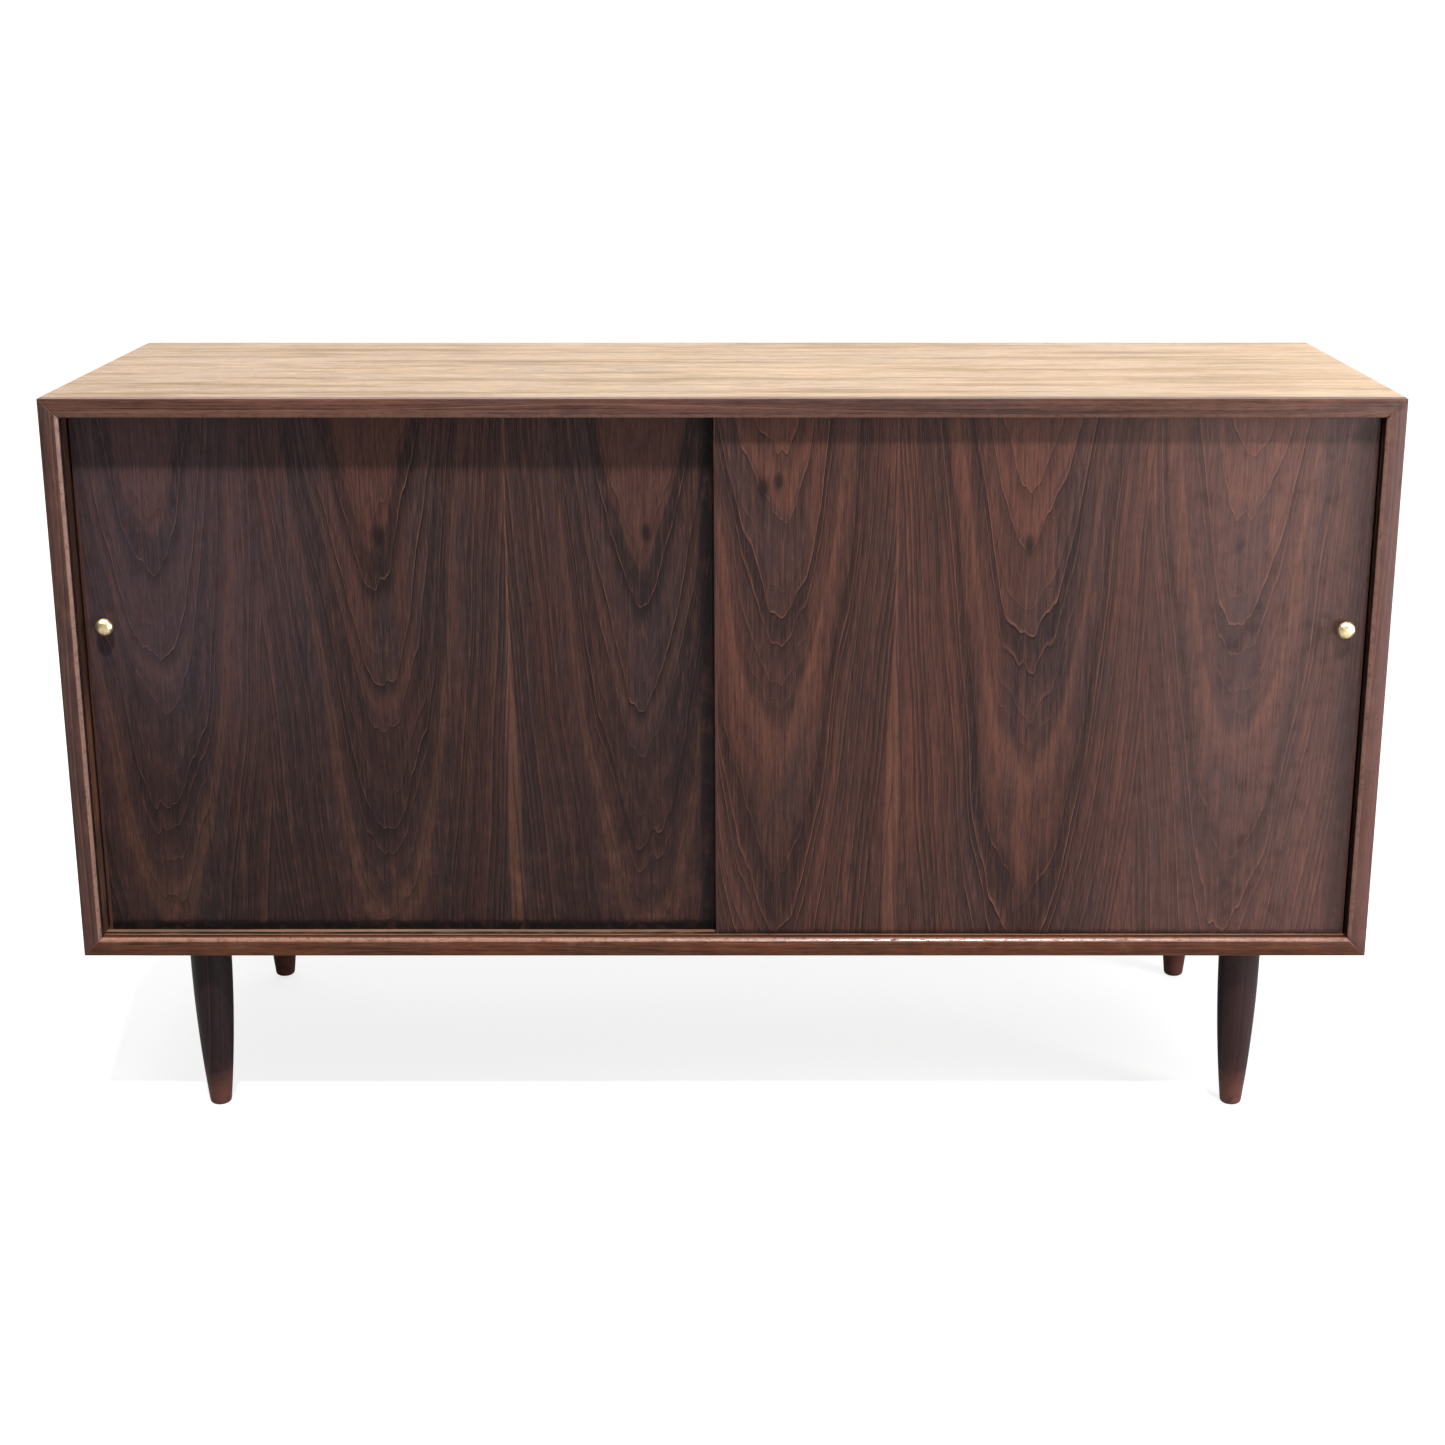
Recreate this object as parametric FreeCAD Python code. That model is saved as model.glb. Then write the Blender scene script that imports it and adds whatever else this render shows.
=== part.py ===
"""Walnut sideboard buffet with two bypass sliding doors on four turned legs.

Millimetres. The origin is at floor level under the middle of the case, +X runs along the
length, +Z is up and the doors face -Y. Left and right are as seen from the front.
"""
import FreeCAD, Part
import math
import os

Vector = FreeCAD.Vector

# ---------------------------------------------------------------- driving dimensions
# Case: four boards mitred into a box
case_length = 1400.0
case_depth = 460.0
case_height = 610.0
board_thickness = 20.0

# Solid edging glued round the front of the case
edging_depth = 12.0
edging_bevel = 3.5
edging_easing = 1.0

# Splines glued across the mitres
spline_thickness = 4.0
spline_width = 14.0
spline_inset = 11.0
spline_end_margin = 10.0

# Back panel, let into a rebate and screwed
back_thickness = 6.0
back_rebate_width = 10.0
back_edge_clearance = 0.5
back_screw_length = 20.0
back_screws_along_length = 6
back_screws_along_height = 3
back_screw_end_margin = 60.0

# Middle partition, housed in the top and the bottom
partition_thickness = 18.0
housing_depth = 5.0
partition_door_clearance = 6.0

# Adjustable shelves and the pins that carry them
shelf_thickness = 18.0
shelf_end_clearance = 2.0
shelf_setback = 15.0
shelf_back_clearance = 1.0
pin_diameter = 5.0
pin_socket_depth = 8.0
pin_collar_diameter = 8.0
pin_collar_thickness = 1.5
pin_blade_length = 9.0
pin_blade_width = 7.0
pin_blade_thickness = 2.5
pin_row_pitch = 32.0
pin_rows = 3
pin_row_inset = 45.0

# Sliding doors; each has a tongue at its top and bottom, flush with its face
door_thickness = 12.0
door_setback = 15.0
door_face_gap = 1.5
door_side_gap = 2.5
door_overlap = 19.0
door_band_width = 3.0
tongue_thickness = 5.0
tongue_side_clearance = 0.4
tongue_running_gap = 0.3
tongue_shoulder_gap = 1.0
top_tongue_engagement = 6.0
lift_out_clearance = 1.0

# Grooved tracks let into the bottom and the top
bottom_groove_depth = 5.0
top_groove_depth = 12.0
track_base_thickness = 3.0
track_back_wall = 8.0

# Knobs
knob_diameter = 19.0
knob_projection = 14.5
knob_neck_diameter = 10.0
knob_neck_length = 4.0
knob_rim_thickness = 2.0
knob_edge_inset = 22.0
knob_above_middle = 60.0
knob_screw_length = 20.0

# Legs: the radius falls with the square of the distance from the top
leg_length = 194.0
leg_top_diameter = 45.0
leg_foot_diameter = 23.0
leg_foot_round = 4.5
leg_end_inset = 128.0
leg_face_inset = 42.0

# Leg fittings
plate_size = 55.0
plate_thickness = 3.0
plate_boss_diameter = 14.0
plate_boss_height = 6.5
plate_screw_spacing = 41.0
plate_screw_length = 11.0
bolt_diameter = 8.0
bolt_length_in_leg = 38.0
bolt_point_length = 5.0

# Countersunk screws
wood_screw_diameter = 3.5
machine_screw_diameter = 4.0
screw_head_ratio = 2.0
screw_point_length = 3.0
screw_slot_width = 0.9
screw_slot_depth = 1.0

# Clearance all round glued joints, pins and fasteners
fit_clearance = 0.05

# ---------------------------------------------------------------- derived places
half_length = case_length / 2
half_depth = case_depth / 2
front_y = -half_depth
back_y = half_depth
bottom_z = leg_length
top_z = leg_length + case_height
middle_z = (bottom_z + top_z) / 2
floor_z = bottom_z + board_thickness
ceiling_z = top_z - board_thickness
inner_half_length = half_length - board_thickness

back_inner_y = back_y - back_thickness
front_door_y = front_y + door_setback
rear_door_y = front_door_y + door_thickness + door_face_gap
doors_back_y = rear_door_y + door_thickness
track_front_y = front_y + edging_depth
track_back_y = rear_door_y + tongue_thickness + tongue_side_clearance + track_back_wall
partition_front_y = doors_back_y + partition_door_clearance
half_partition = partition_thickness / 2

door_width = inner_half_length + door_overlap / 2 - door_side_gap
door_bottom_z = floor_z - bottom_groove_depth + tongue_running_gap
door_top_z = ceiling_z + top_tongue_engagement
lift_to_clear = bottom_groove_depth - tongue_running_gap + lift_out_clearance
knob_z = middle_z + knob_above_middle

shelf_front_y = partition_front_y + shelf_setback
shelf_back_y = back_inner_y - shelf_back_clearance
pin_rows_y = (shelf_front_y + pin_row_inset, shelf_back_y - pin_row_inset)
shelf_bottom_z = middle_z + pin_blade_thickness / 2

# The two corners, as signs of X and Z, that each board of the case runs between
board_corners = {
    "top": ((-1, 1), (1, 1)),
    "bottom": ((-1, -1), (1, -1)),
    "left": ((-1, -1), (-1, 1)),
    "right": ((1, -1), (1, 1)),
}


# ---------------------------------------------------------------- shared shapes
def block(x0, x1, y0, y1, z0, z1):
    """Box between two corners."""
    return Part.makeBox(x1 - x0, y1 - y0, z1 - z0, Vector(x0, y0, z0))


def mitred_board(side, profile):
    """Board or edging along one side of the case, mitred where it meets its neighbours.

    profile lists (y, inset) points round the section; inset is measured in from the outside.
    """
    ends = []
    for sign_x, sign_z in board_corners[side]:
        points = []
        for y, inset in profile:
            x = sign_x * (half_length - inset)
            z = middle_z + sign_z * (case_height / 2 - inset)
            points.append(Vector(x, y, z))
        ends.append(Part.makePolygon(points + points[:1]))
    return Part.makeLoft(ends, True, True)


def turned(profile, base, direction):
    """Solid turned from (radius, height) points, standing on base along direction."""
    points = [Vector(radius, 0, height) for radius, height in profile]
    face = Part.Face(Part.makePolygon(points + points[:1]))
    solid = face.revolve(Vector(0, 0, 0), Vector(0, 0, 1), 360)
    solid.Placement = FreeCAD.Placement(base, FreeCAD.Rotation(Vector(0, 0, 1), direction))
    return solid


def rod(diameter, length, base, direction):
    """Round rod or hole."""
    return Part.makeCylinder(diameter / 2, length, base, direction)


def screw_profile(diameter, length, growth):
    """Half section of a countersunk screw; growth enlarges it into its hole."""
    shank = diameter / 2 + growth
    head = diameter * screw_head_ratio / 2 + growth
    return [(0, 0), (head, 0), (shank, head - shank), (shank, length - screw_point_length), (0, length + growth)]


def screw(diameter, length, base, direction):
    """Slotted countersunk screw, driven from base along direction."""
    body = turned(screw_profile(diameter, length, 0), Vector(0, 0, 0), Vector(0, 0, 1))
    reach = diameter * screw_head_ratio
    half_slot = screw_slot_width / 2
    body = body.cut(block(-reach, reach, -half_slot, half_slot, -screw_slot_depth, screw_slot_depth))
    body.Placement = FreeCAD.Placement(base, FreeCAD.Rotation(Vector(0, 0, 1), direction))
    return body


def screw_hole(diameter, length, base, direction):
    """Countersunk hole that the screw sits in."""
    return turned(screw_profile(diameter, length, fit_clearance), base, direction)


def spread(first, last, count):
    """Evenly spaced places from first to last."""
    return [first + (last - first) * step / (count - 1) for step in range(count)]


# ---------------------------------------------------------------- fasteners' places
def back_screw_places():
    """Heads of the screws round the back panel, over the middle of what each board keeps."""
    edge = board_thickness - back_rebate_width / 2
    side_x = half_length - edge
    side_z = case_height / 2 - edge
    along = spread(-side_x + back_screw_end_margin, side_x - back_screw_end_margin, back_screws_along_length)
    up = spread(-side_z + back_screw_end_margin, side_z - back_screw_end_margin, back_screws_along_height)
    places = [Vector(x, back_y, middle_z + sign * side_z) for x in along for sign in (-1, 1)]
    places += [Vector(sign * side_x, back_y, middle_z + z) for z in up for sign in (-1, 1)]
    places += [Vector(0, back_y, middle_z + z) for z in up]
    return places


def leg_places():
    """Each leg's name and the middle of its top."""
    places = {}
    for front_name, y in (("front", front_y + leg_face_inset), ("rear", back_y - leg_face_inset)):
        for side_name, sign in (("left", -1), ("right", 1)):
            x = sign * (half_length - leg_end_inset)
            places[f"{front_name}_{side_name}_leg"] = Vector(x, y, bottom_z)
    return places


def plate_screw_places():
    """Heads of the four screws of every leg plate."""
    half = plate_screw_spacing / 2
    corners = [(-half, -half), (half, -half), (-half, half), (half, half)]
    return [top + Vector(x, y, 0) for top in leg_places().values() for x, y in corners]


def pin_walls():
    """Each upright face that holds shelf pins: its X and the direction into the bay."""
    return ((-inner_half_length, 1), (-half_partition, -1), (half_partition, 1), (inner_half_length, -1))


def pin_sockets(wall_x, into_bay):
    """Rows of sockets bored into one upright face."""
    rows = spread(-(pin_rows - 1) / 2 * pin_row_pitch, (pin_rows - 1) / 2 * pin_row_pitch, pin_rows)
    sockets = []
    for y in pin_rows_y:
        for rise in rows:
            base = Vector(wall_x, y, middle_z + rise)
            bore = pin_diameter + 2 * fit_clearance
            sockets.append(rod(bore, pin_socket_depth, base, Vector(-into_bay, 0, 0)))
    return sockets


# ---------------------------------------------------------------- case
def corner_splines(growth):
    """Four splines across the mitres; growth enlarges them into their slots."""
    splines = []
    for sign_x in (-1, 1):
        for sign_z in (-1, 1):
            half_t = spline_thickness / 2 + growth
            half_w = spline_width / 2 + growth
            start = track_front_y - growth
            end = back_inner_y - spline_end_margin + growth
            blank = block(-half_w, half_w, start, end, -half_t, half_t)
            centre_x = sign_x * (half_length - spline_inset)
            centre_z = middle_z + sign_z * (case_height / 2 - spline_inset)
            turn = FreeCAD.Rotation(Vector(0, 1, 0), 45 * sign_x * sign_z)
            blank.Placement = FreeCAD.Placement(Vector(centre_x, 0, centre_z), turn)
            splines.append(blank)
    return splines


def track_block(level_z, depth, outward):
    """Space that a track fills, from the inner face of the board outwards."""
    z0, z1 = sorted((level_z, level_z + outward * depth))
    return block(-inner_half_length, inner_half_length, track_front_y, track_back_y, z0, z1)


def track(level_z, groove_depth, outward):
    """Hardwood strip with one groove for each door."""
    strip = track_block(level_z, groove_depth + track_base_thickness, outward)
    z0, z1 = sorted((level_z, level_z + outward * groove_depth))
    for face_y in (front_door_y, rear_door_y):
        groove_front = face_y - tongue_side_clearance
        groove_back = face_y + tongue_thickness + tongue_side_clearance
        strip = strip.cut(block(-inner_half_length, inner_half_length, groove_front, groove_back, z0, z1))
    return strip


def case_board(side):
    """One board of the case with its back rebate, before its own cuts."""
    profile = [
        (track_front_y, 0),
        (back_y, 0),
        (back_y, board_thickness - back_rebate_width),
        (back_inner_y, board_thickness - back_rebate_width),
        (back_inner_y, board_thickness),
        (track_front_y, board_thickness),
    ]
    return mitred_board(side, profile)


def front_edging(side):
    """Edging strip, bevelled inside the opening and eased outside."""
    profile = [
        (front_y, edging_easing),
        (front_y + edging_easing, 0),
        (track_front_y, 0),
        (track_front_y, board_thickness),
        (front_y + edging_bevel, board_thickness),
        (front_y, board_thickness - edging_bevel),
    ]
    return mitred_board(side, profile)


def partition(growth):
    """Upright board between the bays; growth enlarges it into its housings."""
    half = half_partition + growth
    z0 = floor_z - housing_depth - growth
    z1 = ceiling_z + housing_depth + growth
    return block(-half, half, partition_front_y - growth, back_inner_y, z0, z1)


def build_case():
    """Boards, edging, splines, partition, tracks and back."""
    slots = corner_splines(fit_clearance)
    screw_holes = [screw_hole(wood_screw_diameter, back_screw_length, place, Vector(0, -1, 0))
                   for place in back_screw_places()]
    bottom_track_depth = bottom_groove_depth + track_base_thickness
    top_track_depth = top_groove_depth + track_base_thickness
    cuts = {
        "top": [track_block(ceiling_z, top_track_depth, 1), partition(fit_clearance)],
        "bottom": [track_block(floor_z, bottom_track_depth, -1), partition(fit_clearance)] + leg_fitting_cuts(),
        "left": pin_sockets(-inner_half_length, 1),
        "right": pin_sockets(inner_half_length, -1),
    }
    nodes = {}
    for side in board_corners:
        board = case_board(side)
        for cut in slots + screw_holes + cuts[side]:
            board = board.cut(cut)
        nodes[f"{side}_board"] = board
        nodes[f"{side}_front_edging"] = front_edging(side)
    nodes["corner_splines"] = Part.makeCompound(corner_splines(0))

    divider = partition(0)
    for cut in pin_sockets(-half_partition, -1) + pin_sockets(half_partition, 1) + screw_holes:
        divider = divider.cut(cut)
    nodes["partition"] = divider

    edge = board_thickness - back_rebate_width + back_edge_clearance
    half_x = half_length - edge
    half_z = case_height / 2 - edge
    back = block(-half_x, half_x, back_inner_y, back_y, middle_z - half_z, middle_z + half_z)
    for hole in screw_holes:
        back = back.cut(hole)
    nodes["back_panel"] = back
    screws = [screw(wood_screw_diameter, back_screw_length, place, Vector(0, -1, 0))
              for place in back_screw_places()]
    nodes["back_panel_screws"] = Part.makeCompound(screws)

    nodes["bottom_track"] = track(floor_z, bottom_groove_depth, -1)
    nodes["top_track"] = track(ceiling_z, top_groove_depth, 1)
    return nodes


def build_shelves():
    """One adjustable shelf in each bay, on four pins."""
    nodes = {}
    for name, sign in (("left_shelf", -1), ("right_shelf", 1)):
        near = sign * (half_partition + shelf_end_clearance)
        far = sign * (inner_half_length - shelf_end_clearance)
        x0, x1 = sorted((near, far))
        z1 = shelf_bottom_z + shelf_thickness
        nodes[name] = block(x0, x1, shelf_front_y, shelf_back_y, shelf_bottom_z, z1)
    pins = []
    half_blade = pin_blade_width / 2
    half_thick = pin_blade_thickness / 2
    for wall_x, into_bay in pin_walls():
        for y in pin_rows_y:
            socket_end = Vector(wall_x - into_bay * (pin_socket_depth - fit_clearance), y, middle_z)
            stem = rod(pin_diameter, pin_socket_depth - fit_clearance, socket_end, Vector(into_bay, 0, 0))
            wall_point = Vector(wall_x, y, middle_z)
            collar = rod(pin_collar_diameter, pin_collar_thickness, wall_point, Vector(into_bay, 0, 0))
            x0, x1 = sorted((wall_x, wall_x + into_bay * (pin_collar_thickness + pin_blade_length)))
            z0 = middle_z - half_thick
            z1 = middle_z + half_thick
            blade = block(x0, x1, y - half_blade, y + half_blade, z0, z1)
            pins.append(stem.fuse([collar, blade]).removeSplitter())
    nodes["shelf_pins"] = Part.makeCompound(pins)
    return nodes


# ---------------------------------------------------------------- doors
def door_slice(x0, x1, face_y):
    """Length of door section: full thickness between a tongue above and a tongue below."""
    tongue_y = face_y + tongue_thickness
    rear_y = face_y + door_thickness
    low_shoulder = floor_z + tongue_shoulder_gap
    high_shoulder = ceiling_z - tongue_shoulder_gap - lift_to_clear
    section = [
        (face_y, door_bottom_z),
        (tongue_y, door_bottom_z),
        (tongue_y, low_shoulder),
        (rear_y, low_shoulder),
        (rear_y, high_shoulder),
        (tongue_y, high_shoulder),
        (tongue_y, door_top_z),
        (face_y, door_top_z),
    ]
    points = [Vector(x0, y, z) for y, z in section]
    return Part.Face(Part.makePolygon(points + points[:1])).extrude(Vector(x1 - x0, 0, 0))


def knob(centre):
    """Turned knob on a short neck, domed in front."""
    neck = knob_neck_diameter / 2
    rim = knob_diameter / 2
    flare_height = knob_neck_length + knob_rim_thickness
    dome_start = flare_height + knob_rim_thickness
    dome_rise = knob_projection - dome_start
    dome_radius = (rim ** 2 + dome_rise ** 2) / (2 * dome_rise)
    half_angle = math.asin(rim / dome_radius) / 2
    mid_radius = dome_radius * math.sin(half_angle)
    mid_height = knob_projection - dome_radius * (1 - math.cos(half_angle))
    outline = [(0, 0), (neck, 0), (neck, knob_neck_length), (rim, flare_height), (rim, dome_start)]
    corners = [Vector(radius, 0, height) for radius, height in outline]
    crown = Vector(0, 0, knob_projection)
    dome = Part.Arc(corners[-1], Vector(mid_radius, 0, mid_height), crown).toShape()
    edges = [Part.LineSegment(a, b).toShape() for a, b in zip(corners, corners[1:])]
    edges += [dome, Part.LineSegment(crown, corners[0]).toShape()]
    solid = Part.Face(Part.Wire(edges)).revolve(Vector(0, 0, 0), Vector(0, 0, 1), 360)
    solid.Placement = FreeCAD.Placement(centre, FreeCAD.Rotation(Vector(0, 0, 1), Vector(0, -1, 0)))
    return solid


def build_door(side, sign, face_y):
    """Veneered panel, solid edge bands, knob and its screw; the door stands at its own end."""
    outer_x = sign * (inner_half_length - door_side_gap)
    x0, x1 = sorted((outer_x, outer_x - sign * door_width))
    knob_x = outer_x - sign * knob_edge_inset
    screw_base = Vector(knob_x, face_y + door_thickness, knob_z)
    hole = screw_hole(machine_screw_diameter, knob_screw_length, screw_base, Vector(0, -1, 0))
    left_band = door_slice(x0, x0 + door_band_width, face_y)
    right_band = door_slice(x1 - door_band_width, x1, face_y)
    return {
        f"{side}_door_panel": door_slice(x0 + door_band_width, x1 - door_band_width, face_y).cut(hole),
        f"{side}_door_edge_bands": Part.makeCompound([left_band, right_band]),
        f"{side}_knob": knob(Vector(knob_x, face_y, knob_z)).cut(hole),
        f"{side}_knob_screw": screw(machine_screw_diameter, knob_screw_length, screw_base, Vector(0, -1, 0)),
    }


# ---------------------------------------------------------------- legs
def leg_bolt_profile(growth):
    """Half section of the double-ended bolt, from its point in the leg up into the plate."""
    radius = bolt_diameter / 2 + growth
    top = bolt_length_in_leg + plate_thickness + plate_boss_height
    return [(0, -growth), (radius, bolt_point_length), (radius, top), (0, top)]


def leg_bolt(leg_top, growth):
    """Double-ended bolt, or its hole where growth is more than nothing."""
    base = leg_top - Vector(0, 0, bolt_length_in_leg)
    return turned(leg_bolt_profile(growth), base, Vector(0, 0, 1))


def leg_plate(leg_top, growth):
    """Plate and threaded boss, flush with the underside; growth enlarges them into their recess."""
    half = plate_size / 2 + growth
    low = Vector(leg_top.x - half, leg_top.y - half, leg_top.z)
    plate = Part.makeBox(2 * half, 2 * half, plate_thickness + growth, low)
    boss_length = plate_thickness + plate_boss_height + growth
    boss = rod(plate_boss_diameter + 2 * growth, boss_length, leg_top, Vector(0, 0, 1))
    return plate.fuse(boss).removeSplitter()


def leg_fitting_cuts():
    """Recesses and screw holes that the leg fittings need in the bottom board."""
    cuts = [leg_plate(top, fit_clearance) for top in leg_places().values()]
    cuts += [screw_hole(wood_screw_diameter, plate_screw_length, place, Vector(0, 0, 1))
             for place in plate_screw_places()]
    return cuts


def leg(leg_top):
    """Turned leg; its outline is a parabola, which one three-pole Bezier curve draws exactly."""
    top_radius = leg_top_diameter / 2
    foot_radius = leg_foot_diameter / 2
    curve = Part.BezierCurve()
    curve.setPoles([
        Vector(top_radius, 0, 0),
        Vector(top_radius, 0, -leg_length / 2),
        Vector(foot_radius, 0, -leg_length),
    ])
    axis_top = Vector(0, 0, 0)
    axis_foot = Vector(0, 0, -leg_length)
    edges = [
        Part.LineSegment(axis_top, Vector(top_radius, 0, 0)).toShape(),
        curve.toShape(),
        Part.LineSegment(Vector(foot_radius, 0, -leg_length), axis_foot).toShape(),
        Part.LineSegment(axis_foot, axis_top).toShape(),
    ]
    solid = Part.Face(Part.Wire(edges)).revolve(Vector(0, 0, 0), Vector(0, 0, 1), 360)
    foot_edges = [edge for edge in solid.Edges
                  if abs(edge.BoundBox.ZMax + leg_length) < 0.01 and edge.Closed]
    solid = solid.makeFillet(leg_foot_round, foot_edges)
    solid.translate(leg_top)
    return solid.cut(leg_bolt(leg_top, fit_clearance))


def build_legs():
    """Four legs with their plates, bolts and screws."""
    places = leg_places()
    nodes = {name: leg(top) for name, top in places.items()}
    holes = [screw_hole(wood_screw_diameter, plate_screw_length, place, Vector(0, 0, 1))
             for place in plate_screw_places()]
    plates = []
    for top in places.values():
        plate = leg_plate(top, 0).cut(leg_bolt(top, fit_clearance))
        for hole in holes:
            plate = plate.cut(hole)
        plates.append(plate)
    nodes["leg_plates"] = Part.makeCompound(plates)
    nodes["leg_bolts"] = Part.makeCompound([leg_bolt(top, 0) for top in places.values()])
    screws = [screw(wood_screw_diameter, plate_screw_length, place, Vector(0, 0, 1))
              for place in plate_screw_places()]
    nodes["leg_plate_screws"] = Part.makeCompound(screws)
    return nodes


# ---------------------------------------------------------------- export
def main():
    """Build every node and write it to its own STEP file."""
    nodes = {}
    nodes.update(build_case())
    nodes.update(build_shelves())
    nodes.update(build_door("left", -1, rear_door_y))
    nodes.update(build_door("right", 1, front_door_y))
    nodes.update(build_legs())
    os.makedirs("parts", exist_ok=True)
    for name, shape in nodes.items():
        shape.exportStep(f"parts/{name}.step")
        bounds = shape.BoundBox
        print(f"{name}: {len(shape.Solids)} solids, {shape.Volume:.0f} mm3, "
              f"{bounds.XLength:.1f} x {bounds.YLength:.1f} x {bounds.ZLength:.1f}")


main()
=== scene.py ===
"""Looks of a long walnut sideboard with two sliding doors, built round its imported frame.

Metres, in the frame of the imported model: +X to the right along the case, +Z up, doors facing -Y.
"""

import logging
import math
from dataclasses import dataclass
from enum import Enum
from typing import Callable, Optional, Sequence, Union

import bmesh
import bpy
import numpy as np
from mathutils import Matrix, Vector, noise


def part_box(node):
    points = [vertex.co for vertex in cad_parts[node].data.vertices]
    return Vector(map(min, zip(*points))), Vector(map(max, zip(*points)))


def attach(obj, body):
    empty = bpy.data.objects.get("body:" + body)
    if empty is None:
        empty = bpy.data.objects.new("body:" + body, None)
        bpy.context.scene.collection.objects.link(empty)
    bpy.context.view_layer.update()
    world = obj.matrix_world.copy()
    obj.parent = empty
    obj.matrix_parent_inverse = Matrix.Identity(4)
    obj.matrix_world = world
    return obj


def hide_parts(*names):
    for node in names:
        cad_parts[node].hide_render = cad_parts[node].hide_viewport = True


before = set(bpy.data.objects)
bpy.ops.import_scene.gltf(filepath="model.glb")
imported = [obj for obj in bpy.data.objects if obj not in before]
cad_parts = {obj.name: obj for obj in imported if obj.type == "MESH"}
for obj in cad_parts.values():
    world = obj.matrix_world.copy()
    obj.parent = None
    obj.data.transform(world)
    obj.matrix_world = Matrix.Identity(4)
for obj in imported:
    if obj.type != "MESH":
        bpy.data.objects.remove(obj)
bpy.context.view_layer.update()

LOG = logging.getLogger("sideboard")
MM = 0.001
NEAR = MM / 10

Socket = bpy.types.NodeSocket
Piece = bpy.types.Object
Material = bpy.types.Material
Value = Union[float, Sequence[float], Socket]
Colour = tuple[float, float, float, float]

WHITE: Colour = (1.0, 1.0, 1.0, 1.0)
CHANNEL_FULL = 255
SRGB_KNEE, SRGB_SLOPE, SRGB_OFFSET, SRGB_POWER = 0.04045, 12.92, 0.055, 2.4
MIX_INPUTS, MIX_OUTPUT = (0, 6, 7), 2
SEED_STRIDE = (1.0, 1.7, 2.3)


class Axis(Enum):
    """Direction that something runs in."""

    X = 0
    Y = 1
    Z = 2


def tone(*seen: float) -> Colour:
    """Linear colour of red, green and blue given as they look, each from 0 to 255.

    Args:
        seen: The three channels.

    Returns:
        Linear red, green and blue with full alpha.
    """
    shares = [channel / CHANNEL_FULL for channel in seen]
    red, green, blue = (share / SRGB_SLOPE if share <= SRGB_KNEE
                        else ((share + SRGB_OFFSET) / (1 + SRGB_OFFSET)) ** SRGB_POWER for share in shares)
    return red, green, blue, 1.0


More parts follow.
